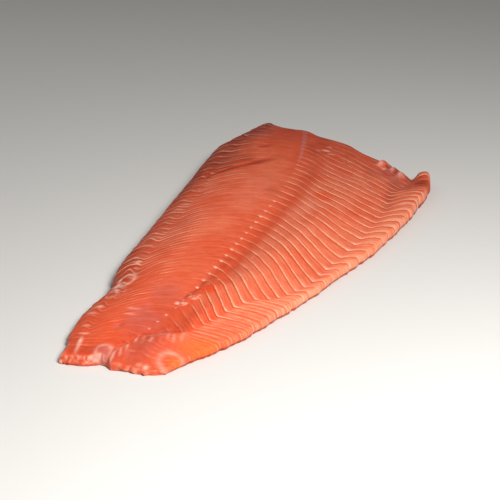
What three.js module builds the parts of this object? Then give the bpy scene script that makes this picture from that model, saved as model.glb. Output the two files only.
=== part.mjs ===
// A raw side of salmon, skinned, lying flesh side up on a flat surface.
// Millimetres, +Z up. +Y runs from the tail cut to the head cut, +X from the back edge to the
// belly edge. The origin is the middle of the underside's bounding rectangle.
// The body is one closed solid. Its upper surface follows the flakes of muscle: a row of vertices
// runs along every groove between two flakes and another along every crest.
import * as THREE from 'three';

// ---- Driving sizes ------------------------------------------------------------------------

const FLAKE_COUNT = 43;              // flakes of muscle from tail cut to head cut
const TAIL_Y = -201.5;               // tail cut on the middle line
const HEAD_Y = 224;                  // head cut on the middle line
const GROOVE_DEPTH = 0.8;            // how far the groove between two flakes is sunk
const EDGE_ROUND = 6;                // radius of the rounded rim
const RIM_DROP = 0.55;               // share of the thickness lost at the rim
const UNDER_INSET = 1.6;             // how far the underside's edge is tucked in
const CUT_ROUND = 0.28;              // rounding of the two cut ends, in flakes

// Plan shape: distance along the side, then distance across it.
const MIDDLE_LINE = [[-200, -29.5], [-160, -16.5], [-110, -6.5], [-60, -2.5], [0, 1], [60, 4],
  [100, 3.5], [150, -2.5], [230, -19]];
const BACK_EDGE = [[-204, -58], [-186, -60.6], [-153, -66.6], [-135, -65.5], [-113, -63.5],
  [-99, -66], [-80, -71.3], [-10, -74.7], [60, -78.8], [116, -82.8], [165, -85.8], [200, -79],
  [250, -68]];
const BELLY_EDGE = [[-200, 4.5], [-180, 16.5], [-143, 38], [-111, 50], [-87, 59], [-52, 69.5],
  [-25, 77], [10, 87.5], [44, 94.5], [95, 102], [147, 106], [177, 102], [240, 85]];

// Thickness of the side at seven lines along it.
const BACK_RIM = [[-200, 5], [-140, 8], [-50, 12], [50, 14], [100, 13.5], [250, 14.5]];
const LOIN = [[-200, 6.5], [-180, 10.5], [-140, 16], [-90, 20], [0, 25], [90, 28], [165, 27.5],
  [200, 24.5], [230, 20.5], [255, 18]];
const MIDDLE = [[-200, 6], [-180, 9.5], [-140, 13], [-90, 16], [0, 20], [90, 23.5], [165, 24],
  [240, 21]];
const BELLY = [[-200, 6.5], [-180, 10.5], [-140, 14], [-90, 16.5], [0, 19], [90, 20], [165, 18],
  [220, 15]];
const FOLD = [[-200, 5.5], [-140, 9], [-90, 10], [0, 11], [90, 11.5], [165, 10.5]];
const BELLY_RIM = [[-200, 5], [-140, 6], [0, 7], [90, 8], [165, 8.5]];
const GROOVE_SINK = 2;               // the furrow beside the middle line
const STRIP_RIDGE = 2.2;             // crest of the belly strip near the head
const STRIP_VALLEY = 1.2;            // fold beside that crest
const SECTION_SHARES = [-1, -0.8, -0.45, -0.1, 0, 0.12, 0.4, 0.8, 1];

// The two cut ends: share across the side (-1 back, 1 belly), then distance along it.
const TAIL_CUT = [[-1, -199.5], [-0.65, -199], [-0.35, -197], [-0.18, -194], [-0.05, -196],
  [0.1, -198], [0.4, -197.5], [0.6, -198.7], [0.85, -197], [1, -194.5]];
const HEAD_CUT = [[-1, 247], [-0.8, 253], [-0.55, 239.5], [-0.3, 228.5], [0, 224],
  [0.14, 217], [0.33, 214.5], [0.5, 195.5], [0.61, 187.5], [0.76, 171], [0.855, 163],
  [0.92, 174], [0.97, 175.5], [1, 170]];
const TAIL_BLEND = 6;                // flakes over which the lines straighten to the tail cut
const HEAD_BLEND = 7;                // flakes over which the lines turn to the head cut

// How the flakes run across the side, by where they cross the middle line. From the middle line
// each one sweeps towards the tail, folds back at the belly strip and droops at the rim.
const FOLD_SHARE = [[-201, 0.5], [-165, 0.51], [-125, 0.57], [-84, 0.62], [-68, 0.67],
  [-48, 0.81], [-30, 0.88], [-5, 0.92], [16, 0.9], [80, 0.85], [125, 0.82], [165, 0.77],
  [190, 0.8], [229, 0.87]];
const BELLY_SWEEP = [[-201, 0], [-175, 8], [-145, 19], [-125, 25], [-103, 33.5], [-63, 41],
  [-33, 52], [-5, 56], [16, 55], [60, 48], [120, 42], [165, 46], [229, 66]];
const BELLY_BEND = [[-201, 0.3], [0, 0.3], [60, 0.8], [120, 2], [229, 0.5]];
const STRIP_LIFT = [[-201, 0], [-145, 6], [-100, 8], [-33, 8], [16, 10], [60, 16], [120, 22],
  [229, 10]];
const BACK_SWEEP = [[-201, 0], [-160, 20], [-100, 33], [-33, 38], [50, 36], [110, 30], [180, 5],
  [229, -36]];
const BACK_FOLD_SHARE = 0.69;        // where the flakes turn back near the back edge
const BACK_PEAK_SHARE = 0.81;        // where they turn again to droop at the rim
const BACK_PEAK_RISE = 6;

// The loose flap of back muscle: the surface slopes down to this crease, then rises again.
const FLAP_CREASE = [[60, -64], [80, -61], [91, -52.5], [101, -43.5], [112, -34.5], [123, -27.5],
  [132, -23], [146, -18]];
const FLAP_DROP = 1.8;
const FLAP_SLOPE = 14;               // width of the slope down
const FLAP_LENGTH = 46;              // distance over which the surface rises again

// The lobe of belly muscle at the tail stands above the hollow beside it.
const LOBE_EDGE = [[-28, -193], [-20, -181], [-17, -172], [-5, -169.5], [6, -164]];
const LOBE_RISE = 2;
const LOBE_WIDTH = 4;

// Lumps on the surface: across, along, radius and rise.
const LUMPS = [
  [63, 173, 5.8, 5.2],               // torn flesh on the head cut
  [73.5, 163.5, 5.4, 4.8],
  [81.5, 157.5, 4.8, 4.2],
  [76, 147, 5, 1.4],
  [97, 170, 7, 1.4],                 // curled belly corner
  [88.5, 158, 4, -1.6],              // notch beside the corner
  [6, -101, 7.5, 1.4],               // swollen flakes beside the middle line
  [0, -116, 5, 1],
  [-4, -119, 3, 0.8],                // knots of membrane on the middle line
  [-7.5, -126, 3, 0.8],
  [-34.6, -163, 2.6, -1.6],          // small hole near the tail
  [10, -190, 6, 0.8],
];

// ---- Small functions ----------------------------------------------------------------------

/** Smooth step from 0 at a to 1 at b. */
function smoothStep(a, b, x) {
  const s = Math.min(Math.max((x - a) / (b - a), 0), 1);
  return s * s * (3 - 2 * s);
}

/** The larger of two values, rounded over the radius r. */
function smoothMax(a, b, r) {
  return 0.5 * (a + b + Math.hypot(a - b, r));
}

/** The smaller of two values, rounded over the radius r. */
function smoothMin(a, b, r) {
  return -smoothMax(-a, -b, r);
}

/** Slopes of a curve through knots that never overshoots them. */
function slopesOf(xs, vs) {
  const n = xs.length;
  const rise = xs.slice(1).map((x, i) => (vs[i + 1] - vs[i]) / (x - xs[i]));
  const slopes = new Array(n).fill(0);
  for (let i = 1; i < n - 1; i += 1) {
    const w1 = 2 * (xs[i + 1] - xs[i]) + xs[i] - xs[i - 1];
    const w2 = xs[i + 1] - xs[i] + 2 * (xs[i] - xs[i - 1]);
    if (rise[i - 1] * rise[i] > 0) {
      slopes[i] = (w1 + w2) / (w1 / rise[i - 1] + w2 / rise[i]);
    }
  }
  slopes[0] = rise[0];
  slopes[n - 1] = rise[n - 2];
  return slopes;
}

/** A smooth function through knots, straight beyond its two ends. */
function curveThrough(knots) {
  const xs = knots.map((knot) => knot[0]);
  const vs = knots.map((knot) => knot[1]);
  const slopes = slopesOf(xs, vs);
  const last = xs.length - 1;
  return (x) => {
    if (x <= xs[0]) return vs[0] + (x - xs[0]) * slopes[0];
    if (x >= xs[last]) return vs[last] + (x - xs[last]) * slopes[last];
    let i = 0;
    while (x > xs[i + 1]) i += 1;
    const h = xs[i + 1] - xs[i];
    const s = (x - xs[i]) / h;
    const start = (1 + 2 * s) * (1 - s) ** 2 * vs[i] + s * (1 - s) ** 2 * h * slopes[i];
    const end = s * s * (3 - 2 * s) * vs[i + 1] + s * s * (s - 1) * h * slopes[i + 1];
    return start + end;
  };
}

// ---- Plan shape ---------------------------------------------------------------------------

const middleLine = curveThrough(MIDDLE_LINE);
const backEdge = curveThrough(BACK_EDGE);
const bellyEdge = curveThrough(BELLY_EDGE);
const tailCut = curveThrough(TAIL_CUT);
const headCut = curveThrough(HEAD_CUT);
const foldShare = curveThrough(FOLD_SHARE);
const bellySweep = curveThrough(BELLY_SWEEP);
const bellyBend = curveThrough(BELLY_BEND);
const stripLift = curveThrough(STRIP_LIFT);
const backSweep = curveThrough(BACK_SWEEP);

/** Width from the middle line to the edge on the side that the share lies. */
function halfWidth(y, share) {
  return share < 0 ? middleLine(y) - backEdge(y) : bellyEdge(y) - middleLine(y);
}

/** Distance across the side at a share of its half width. */
function acrossAt(y, share) {
  return middleLine(y) + share * halfWidth(y, share);
}

/** How far a belly flake has moved along the side at a share of the half width. */
function bellyOffset(share, y0) {
  const fold = foldShare(y0);
  const sweep = bellySweep(y0);
  const bend = bellyBend(y0);
  const eased = (v) => 0.5 * (v + Math.hypot(v, 0.0775));
  const ramp = (eased(share / fold - 0.15) - eased(-0.15)) / (eased(0.85) - eased(-0.15));
  const inner = -sweep * (1 + bend) * ramp / (1 + bend * ramp);
  const beyond = (share - fold) / (1 - fold);
  const lift = 1.6 * stripLift(y0) * (beyond - 0.55 * Math.max(beyond, 0) ** 2);
  return smoothMax(inner, lift - sweep, 1.5);
}

/** How far a back flake has moved along the side at a share of the half width. */
function backOffset(share, y0) {
  const sweep = backSweep(y0);
  const inner = Math.max(share / BACK_FOLD_SHARE, 0) ** 1.6;
  if (sweep <= 0) return -sweep * inner;
  const depth = Math.max(sweep, BACK_PEAK_RISE - 2);
  const slope = BACK_PEAK_RISE / (BACK_PEAK_SHARE - BACK_FOLD_SHARE);
  const rise = slope * (share - BACK_FOLD_SHARE) - depth;
  const droop = BACK_PEAK_RISE + 1 - depth - slope * (share - BACK_PEAK_SHARE);
  return smoothMin(smoothMax(-depth * inner, rise, 1.5), droop, 2);
}

/** Distance along the side of flake number `row` at a share of the half width. */
function alongAt(row, share) {
  const y0 = TAIL_Y + (HEAD_Y - TAIL_Y) * row / FLAKE_COUNT;
  const offset = share > 0
    ? bellyOffset(share, y0) - bellyOffset(0, y0)
    : backOffset(-share, y0) - backOffset(0, y0);
  const head = smoothStep(FLAKE_COUNT - HEAD_BLEND, FLAKE_COUNT, row);
  const tail = 1 - smoothStep(0, TAIL_BLEND, row);
  const turned = offset * (1 - head) + (headCut(share) - HEAD_Y) * head;
  return y0 + turned * (1 - tail) + (tailCut(share) - TAIL_Y) * tail;
}

// ---- Height of the upper surface ----------------------------------------------------------

const thickness = {
  backRim: curveThrough(BACK_RIM),
  loin: curveThrough(LOIN),
  middle: curveThrough(MIDDLE),
  belly: curveThrough(BELLY),
  fold: curveThrough(FOLD),
  bellyRim: curveThrough(BELLY_RIM),
};
const creaseLine = curveThrough(FLAP_CREASE);
const lobeLine = curveThrough(LOBE_EDGE);

/** Smooth cross-section of the side, before any detail. */
function sectionHeight(y, share) {
  const rim = thickness.backRim(y);
  const loin = thickness.loin(y);
  const middle = thickness.middle(y);
  const heights = [rim, rim + 0.62 * (loin - rim), loin, middle + 0.35 * (loin - middle), middle,
    middle - GROOVE_SINK, thickness.belly(y), thickness.fold(y), thickness.bellyRim(y)];
  return curveThrough(SECTION_SHARES.map((at, i) => [at, heights[i]]))(share);
}

/** Crest of the belly strip near the head, and the fold beside it. */
function stripRise(row, share) {
  const y0 = TAIL_Y + (HEAD_Y - TAIL_Y) * row / FLAKE_COUNT;
  const fold = foldShare(y0);
  const beyond = (share - fold) / (1 - fold);
  const crest = STRIP_RIDGE * Math.exp(-(((beyond - 0.8) / 0.45) ** 2));
  const valley = STRIP_VALLEY * Math.exp(-((beyond / 0.3) ** 2));
  return (crest - valley) * smoothStep(95, 150, y0);
}

/** Slope down to the crease of the back flap, fading away towards the head. */
function flapDrop(x, y) {
  const fromCrease = creaseLine(y) - x;
  const slope = smoothStep(1 - FLAP_SLOPE, 1, fromCrease);
  const lip = 1 - 0.6 * smoothStep(1, 6, fromCrease);
  const fade = 1 - smoothStep(6, FLAP_LENGTH, fromCrease);
  const along = smoothStep(66, 84, y) * (1 - smoothStep(112, 148, y));
  return FLAP_DROP * slope * lip * fade * along;
}

/** Rise of the belly lobe at the tail. */
function lobeRise(x, y) {
  const inside = lobeLine(x) - y;
  const across = smoothStep(-30, -22, x) * (1 - smoothStep(4, 16, x));
  return LOBE_RISE * across * smoothStep(-LOBE_WIDTH, 0, inside) * (1 - smoothStep(8, 26, inside));
}

/** Sum of the small lumps and dents. */
function lumpRise(x, y) {
  let rise = 0;
  for (const [across, along, radius, height] of LUMPS) {
    rise += height * Math.exp(-((x - across) ** 2 + (y - along) ** 2) / (radius * radius));
  }
  return rise;
}

/** Groove between flakes: full depth on whole rows, none on the crests. */
function grooveDepth(row, share) {
  const phase = row - Math.floor(row);
  const towardsEdge = smoothStep(0, 0.25, Math.abs(share)) * (1 - smoothStep(0.93, 1, Math.abs(share)));
  const towardsEnds = smoothStep(0, 2, row) * smoothStep(0, 2, FLAKE_COUNT - row);
  return GROOVE_DEPTH * (1 - Math.sin(Math.PI * phase)) * towardsEdge * towardsEnds;
}

/** Point of the upper surface on a flake row at a share of the half width. */
function upperPoint(row, share) {
  const y = alongAt(row, share);
  const x = acrossAt(y, share);
  let z = sectionHeight(y, share) - flapDrop(x, y) + lobeRise(x, y) + lumpRise(x, y);
  z += stripRise(row, share) - grooveDepth(row, share);
  const reach = Math.min(0.45 * z, EDGE_ROUND);
  const near = Math.max(1 - (1 - Math.abs(share)) * halfWidth(y, share) / reach, 0);
  z *= 1 - RIM_DROP * (1 - Math.sqrt(1 - near * near));
  const fromCut = Math.min(row, FLAKE_COUNT - row) / CUT_ROUND;
  const nearCut = Math.max(1 - fromCut, 0);
  z *= 1 - 0.3 * (1 - Math.sqrt(1 - nearCut * nearCut));
  return [x, y, z];
}

/** Point of the flat underside, tucked in from the outline. */
function underPoint(row, share) {
  const pull = UNDER_INSET / halfWidth(alongAt(row, share), share);
  const inner = share * (1 - pull);
  const inFlakes = UNDER_INSET * FLAKE_COUNT / (HEAD_Y - TAIL_Y);
  const innerRow = inFlakes + row * (1 - 2 * inFlakes / FLAKE_COUNT);
  const y = alongAt(innerRow, inner);
  return [acrossAt(y, inner), y, 0];
}

// ---- Grid and mesh ------------------------------------------------------------------------

const BACK_COLUMNS = [10, 4, 6];     // middle to fold, fold to peak, peak to rim
const BELLY_COLUMNS = [14, 9];       // middle to fold, fold to rim
const UNDER_SHARES = [-1, -0.8, -0.55, -0.3, 0, 0.2, 0.4, 0.6, 0.75, 0.88, 1];

/** Rows of the grid: every groove and crest, and close rows at the two rounded cuts. */
function gridRows() {
  const rows = [0, 0.1];
  for (let i = 1; i < 2 * FLAKE_COUNT; i += 1) rows.push(0.5 * i);
  rows.push(FLAKE_COUNT - 0.1, FLAKE_COUNT);
  return rows;
}

/** Shares from 0 to 1 with a column on each fold and close columns at the rim. */
function sharesOut(stops, counts) {
  const shares = [];
  stops.slice(1).forEach((stop, i) => {
    const rim = i === counts.length - 1;
    for (let k = 1; k <= counts[i]; k += 1) {
      const s = k / counts[i];
      shares.push(stops[i] + (stop - stops[i]) * (rim ? 1 - (1 - s) ** 1.6 : s));
    }
  });
  return shares;
}

/** All shares across one row, from the back edge to the belly edge. */
function rowShares(row) {
  const y0 = TAIL_Y + (HEAD_Y - TAIL_Y) * row / FLAKE_COUNT;
  const back = sharesOut([0, BACK_FOLD_SHARE, BACK_PEAK_SHARE, 1], BACK_COLUMNS);
  const belly = sharesOut([0, foldShare(y0), 1], BELLY_COLUMNS);
  return [...back.reverse().map((share) => -share), 0, ...belly];
}

/** Joins two lines of vertices that share both ends' sides with a strip of triangles. */
function zip(first, second, points, faces) {
  let i = 0;
  let j = 0;
  while (i < first.length - 1 || j < second.length - 1) {
    const nextFirst = i < first.length - 1 ? points[first[i + 1]][0] : Infinity;
    const nextSecond = j < second.length - 1 ? points[second[j + 1]][0] : Infinity;
    if (nextFirst <= nextSecond) {
      faces.push([first[i], second[j], first[i + 1]]);
      i += 1;
    } else {
      faces.push([first[i], second[j], second[j + 1]]);
      j += 1;
    }
  }
}

/** Two triangles on each cell of a grid of vertex numbers. */
function sheet(grid, faces, flip) {
  for (let r = 0; r < grid.length - 1; r += 1) {
    for (let c = 0; c < grid[r].length - 1; c += 1) {
      const [a, b, d, e] = [grid[r][c], grid[r][c + 1], grid[r + 1][c], grid[r + 1][c + 1]];
      const cell = [[a, b, e], [a, e, d]];
      for (const [p, q, s] of cell) faces.push(flip ? [p, s, q] : [p, q, s]);
    }
  }
}

/** The closed body of the fillet. */
function filletGeometry() {
  const points = [];
  const faces = [];
  const add = (point) => points.push(point) - 1;
  const rows = gridRows();
  const upper = rows.map((row) => rowShares(row).map((share) => add(upperPoint(row, share))));
  const under = rows.map((row) => UNDER_SHARES.map((share) => add(underPoint(row, share))));
  sheet(upper, faces, false);
  sheet(under, faces, true);
  const last = (line) => line[line.length - 1];
  sheet(rows.map((_, r) => [under[r][0], upper[r][0]]), faces, false);
  sheet(rows.map((_, r) => [last(upper[r]), last(under[r])]), faces, false);
  zip(upper[0], under[0], points, faces);
  const headFaces = [];
  zip(last(upper), last(under), points, headFaces);
  for (const [p, q, s] of headFaces) faces.push([p, s, q]);

  const geometry = new THREE.BufferGeometry();
  geometry.setAttribute('position', new THREE.Float32BufferAttribute(points.flat(), 3));
  geometry.setIndex(faces.flat());
  geometry.computeBoundingBox();
  const middle = geometry.boundingBox.getCenter(new THREE.Vector3());
  geometry.translate(-middle.x, -middle.y, 0);
  geometry.computeVertexNormals();
  return geometry;
}

// ---- Scene --------------------------------------------------------------------------------

const flesh = new THREE.MeshStandardMaterial({ color: 0xe8704c, roughness: 0.38, metalness: 0 });
flesh.name = 'salmon_flesh';

const fillet = new THREE.Mesh(filletGeometry(), flesh);
fillet.name = 'fillet';

const side = new THREE.Group();
side.add(fillet);

export default side;
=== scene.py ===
"""A raw side of salmon, skinned and lying flesh side up, dressed as fresh orange fish.

Sizes are in millimetres until the last step, which turns them to metres. Along the side, y runs
from the tail cut to the head cut. Across it, x runs from the back edge to the belly edge. A
"share" is a place across the side: -1 at the back edge, 0 on the middle line, 1 at the belly edge.
A "row" counts flakes of muscle from the tail cut.
"""

import logging
import math
from collections.abc import Callable
from dataclasses import dataclass, field
from enum import Enum

import bpy
import numpy as np
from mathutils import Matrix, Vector


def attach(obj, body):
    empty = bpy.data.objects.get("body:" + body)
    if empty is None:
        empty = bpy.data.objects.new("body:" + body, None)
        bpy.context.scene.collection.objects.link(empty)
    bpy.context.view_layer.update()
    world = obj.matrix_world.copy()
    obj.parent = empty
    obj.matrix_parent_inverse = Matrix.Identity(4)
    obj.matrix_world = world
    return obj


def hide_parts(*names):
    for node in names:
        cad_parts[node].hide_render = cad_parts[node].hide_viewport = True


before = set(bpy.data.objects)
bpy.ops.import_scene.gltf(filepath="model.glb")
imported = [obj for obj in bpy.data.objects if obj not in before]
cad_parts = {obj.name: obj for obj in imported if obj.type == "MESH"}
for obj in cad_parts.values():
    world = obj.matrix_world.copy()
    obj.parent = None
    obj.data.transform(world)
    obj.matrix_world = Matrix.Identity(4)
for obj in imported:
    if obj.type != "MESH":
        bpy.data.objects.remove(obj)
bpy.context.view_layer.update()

MM = 0.001
LOG = logging.getLogger("salmon")
GRAIN_CELLS = 64

Knots = tuple[tuple[float, float], ...]
Array = np.ndarray
Socket = bpy.types.NodeSocket


# ---- Curves and blends ----------------------------------------------------------------------


def smooth_step(low: float, high: float, value: Array) -> Array:
    """Smooth step from 0 at low to 1 at high."""
    s = np.clip((value - low) / (high - low), 0.0, 1.0)
    return s * s * (3.0 - 2.0 * s)


def fade_out(low: float, high: float, value: Array) -> Array:
    """Smooth step from 1 at low to 0 at high."""
    return 1 - smooth_step(low, high, value)


def window(value: Array, start: float, full: float, last: float, end: float) -> Array:
    """One between full and last, fading to 0 at start and end."""
    return smooth_step(start, full, value) * fade_out(last, end, value)


def smooth_max(first: Array, second: Array, radius: float) -> Array:
    """The larger of two values, rounded over a radius."""
    return 0.5 * (first + second + np.sqrt((first - second) ** 2 + radius * radius))


def smooth_min(first: Array, second: Array, radius: float) -> Array:
    """The smaller of two values, rounded over a radius."""
    return -smooth_max(-first, -second, radius)


def bell(value: Array, centre: float, width: float) -> Array:
    """A bell of height 1 around a centre."""
    return np.exp(-(((value - centre) / width) ** 2))


def calm_slopes(xs: Array, vs: Array) -> Array:
    """Slopes at knots for a curve that never overshoots.

    Args:
        xs: Where the knots are.
        vs: Their values, one or many to a knot.

    Returns:
        The slopes, in the shape of the values.
    """
    steps = np.diff(xs).reshape(-1, *[1] * (vs.ndim - 1))
    rises = np.diff(vs, axis=0) / steps
    slopes = np.zeros_like(vs)
    for i in range(1, len(xs) - 1):
        w1 = 2 * steps[i] + steps[i - 1]
        w2 = steps[i] + 2 * steps[i - 1]
        same = rises[i - 1] * rises[i] > 0
        before = np.where(same, rises[i - 1], 1.0)
        after = np.where(same, rises[i], 1.0)
        slopes[i] = np.where(same, (w1 + w2) / (w1 / before + w2 / after), 0.0)
    slopes[0], slopes[-1] = rises[0], rises[-1]
    return slopes


def between_knots(
    xs: Array, at: Array, values: Callable[[Array], Array], slopes: Callable[[Array], Array]
) -> Array:
    """The smooth curve between the two knots on either side of each place.

    Args:
        xs: Where the knots are.
        at: Where to read the curve.
        values: Gives the value at knots by their numbers.
        slopes: Gives the slope at knots by their numbers.

    Returns:
        A value for each place.
    """
    i = np.clip(np.searchsorted(xs, at, side="right") - 1, 0, len(xs) - 2)
    h = xs[i + 1] - xs[i]
    s = (at - xs[i]) / h
    return (
        (1 + 2 * s) * (1 - s) ** 2 * values(i)
        + s * (1 - s) ** 2 * h * slopes(i)
        + s * s * (3 - 2 * s) * values(i + 1)
        + s * s * (s - 1) * h * slopes(i + 1)
    )


@dataclass(frozen=True)
class Curve:
    """A smooth function through knots that never overshoots, straight beyond its ends."""

    knots: Knots

    def __call__(self, at: Array) -> Array:
        """The curve's value.

        Args:
            at: Where to read the curve.

        Returns:
            A value for each place.
        """
        xs, vs = np.array(self.knots, float).T
        slopes = calm_slopes(xs, vs)
        at = np.asarray(at, float)
        inside = np.clip(at, xs[0], xs[-1])
        value = between_knots(xs, inside, lambda i: vs[i], lambda i: slopes[i])
        return value + (at - inside) * np.where(at < xs[0], slopes[0], slopes[-1])


@dataclass(frozen=True)
class Grain:
    """Smooth random unevenness, the same each time for one seed, with cells in millimetres."""

    seed: int
    cell: float

    def __call__(self, x: Array, y: Array) -> Array:
        """Unevenness between -1 and 1.

        Args:
            x: Place across.
            y: Place along.

        Returns:
            A value for each place.
        """
        lattice = np.random.default_rng(self.seed).uniform(-1, 1, (GRAIN_CELLS, GRAIN_CELLS))
        u, v = x / self.cell + 31.3, y / self.cell + 17.7
        iu, iv = np.floor(u).astype(int), np.floor(v).astype(int)
        fu, fv = u - iu, v - iv
        fu, fv = fu * fu * (3 - 2 * fu), fv * fv * (3 - 2 * fv)

        def corner(du: int, dv: int) -> Array:
            """The lattice value at one corner of each cell."""
            return lattice[(iu + du) % GRAIN_CELLS, (iv + dv) % GRAIN_CELLS]

        low = corner(0, 0) * (1 - fu) + corner(1, 0) * fu
        high = corner(0, 1) * (1 - fu) + corner(1, 1) * fu
        return low * (1 - fv) + high * fv


# ---- The side's shape -----------------------------------------------------------------------


@dataclass(frozen=True)
class Outline:
    """The side seen from above: its middle line, its two edges and its two cuts."""

    middle: Curve = Curve(
        ((-200, -29.5), (-160, -16.5), (-110, -6.5), (-60, -2.5), (0, 1), (60, 4),
         (100, 3.5), (150, -2.5), (230, -19))
    )
    back: Curve = Curve(
        ((-204, -58), (-186, -60.6), (-153, -66.6), (-135, -65.5), (-113, -63.5),
         (-99, -66), (-80, -71.3), (-10, -74.7), (60, -78.8), (116, -82.8), (165, -85.8),
         (200, -79), (250, -68))
    )
    belly: Curve = Curve(
        ((-200, 4.5), (-180, 16.5), (-143, 38.0), (-111, 50), (-87, 59), (-52, 69.5),
         (-25, 77), (10, 87.5), (44, 94.5), (95, 102), (147, 106), (177, 102), (240, 85))
    )
    tail_cut: Curve = Curve(
        ((-1, -199.5), (-0.65, -199), (-0.35, -197), (-0.18, -194), (-0.05, -196),
         (0.1, -198), (0.4, -197.5), (0.6, -198.7), (0.85, -197), (1, -194.5))
    )
    head_cut: Curve = Curve(
        ((-1, 247), (-0.8, 253), (-0.55, 239.5), (-0.3, 228.5), (0, 224), (0.14, 217),
         (0.33, 214.5), (0.5, 195.5), (0.61, 187.5), (0.76, 171), (0.855, 163), (0.92, 174),
         (0.97, 175.5), (1, 170))
    )

    def half_width(self, y: Array, share: Array) -> Array:
        """Width from the middle line to the edge on the share's side."""
        middle = self.middle(y)
        return np.where(share < 0, middle - self.back(y), self.belly(y) - middle)

    def across(self, y: Array, share: Array) -> Array:
        """Distance across the side at a share of its half width."""
        return self.middle(y) + share * self.half_width(y, share)


@dataclass(frozen=True)
class Flakes:
    """How the flakes of muscle run across the side."""

    outline: Outline
    count: int = 43
    tail_y: float = -201.5
    head_y: float = 224.0
    tail_blend: float = 6.0
    head_blend: float = 7.0
    back_fold: float = 0.69
    back_peak: float = 0.81
    back_peak_rise: float = 6.0
    fold: Curve = Curve(
        ((-201, 0.5), (-165, 0.51), (-125, 0.57), (-84, 0.62), (-68, 0.67), (-48, 0.81),
         (-30, 0.88), (-5, 0.92), (16, 0.9), (80, 0.85), (125, 0.82), (165, 0.77),
         (190, 0.8), (229, 0.87))
    )
    belly_sweep: Curve = Curve(
        ((-201, 0), (-175, 8), (-145, 19), (-125, 25), (-103, 33.5), (-63, 41), (-33, 52),
         (-5, 56), (16, 55), (60, 48), (120, 42), (165, 46), (229, 66))
    )
    belly_bend: Curve = Curve(((-201, 0.3), (0, 0.3), (60, 0.8), (120, 2), (229, 0.5)))
    strip_lift: Curve = Curve(
        ((-201, 0), (-145, 6), (-100, 8), (-33, 8), (16, 10), (60, 16), (120, 22), (229, 10))
    )
    back_sweep: Curve = Curve(
        ((-201, 0), (-160, 20), (-100, 33), (-33, 38), (50, 36), (110, 30), (180, 5),
         (229, -36))
    )

    def start(self, row: Array) -> Array:
        """Where a row crosses the middle line."""
        return self.tail_y + (self.head_y - self.tail_y) * row / self.count

    def _belly(self, share: Array, y0: Array) -> Array:
        """How far a belly flake has moved along the side.

        Args:
            share: Place across, from 0 to 1.
            y0: Where the flake crosses the middle line.

        Returns:
            The move along the side.
        """
        fold, sweep, bend = self.fold(y0), self.belly_sweep(y0), self.belly_bend(y0)

        def eased(value: Array | float) -> Array:
            """A ramp that starts softly at 0."""
            return 0.5 * (value + np.sqrt(np.square(value) + 0.006))

        ramp = (eased(share / fold - 0.15) - eased(-0.15)) / (eased(0.85) - eased(-0.15))
        inner = -sweep * (1 + bend) * ramp / (1 + bend * ramp)
        beyond = (share - fold) / (1 - fold)
        lift = 1.6 * self.strip_lift(y0) * (beyond - 0.55 * np.maximum(beyond, 0) ** 2)
        return smooth_max(inner, lift - sweep, 1.5)

    def _back(self, share: Array, y0: Array) -> Array:
        """How far a back flake has moved along the side.

        Args:
            share: Place across, from 0 to 1 towards the back edge.
            y0: Where the flake crosses the middle line.

        Returns:
            The move along the side.
        """
        sweep = self.back_sweep(y0)
        inner = np.power(np.maximum(share / self.back_fold, 0), 1.6)
        depth = np.maximum(sweep, self.back_peak_rise - 2)
        slope = self.back_peak_rise / (self.back_peak - self.back_fold)
        rise = slope * (share - self.back_fold) - depth
        droop = self.back_peak_rise + 1 - depth - slope * (share - self.back_peak)
        folded = smooth_min(smooth_max(-depth * inner, rise, 1.5), droop, 2)
        return np.where(sweep > 0, folded, -sweep * inner)

    def along(self, row: Array, share: Array) -> Array:
        """Distance along the side of a row.

        Args:
            row: Row number, whole on each groove between two flakes.
            share: Place across the side.

        Returns:
            The distance along the side.
        """
        y0 = self.start(row)
        belly = self._belly(np.maximum(share, 0), y0) - self._belly(np.zeros_like(y0), y0)
        back = self._back(np.maximum(-share, 0), y0) - self._back(np.zeros_like(y0), y0)
        offset = np.where(share > 0, belly, back)
        head = smooth_step(self.count - self.head_blend, self.count, row)
        tail = 1 - smooth_step(0, self.tail_blend, row)
        turned = offset * (1 - head) + (self.outline.head_cut(share) - self.head_y) * head
        return y0 + turned * (1 - tail) + (self.outline.tail_cut(share) - self.tail_y) * tail


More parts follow.
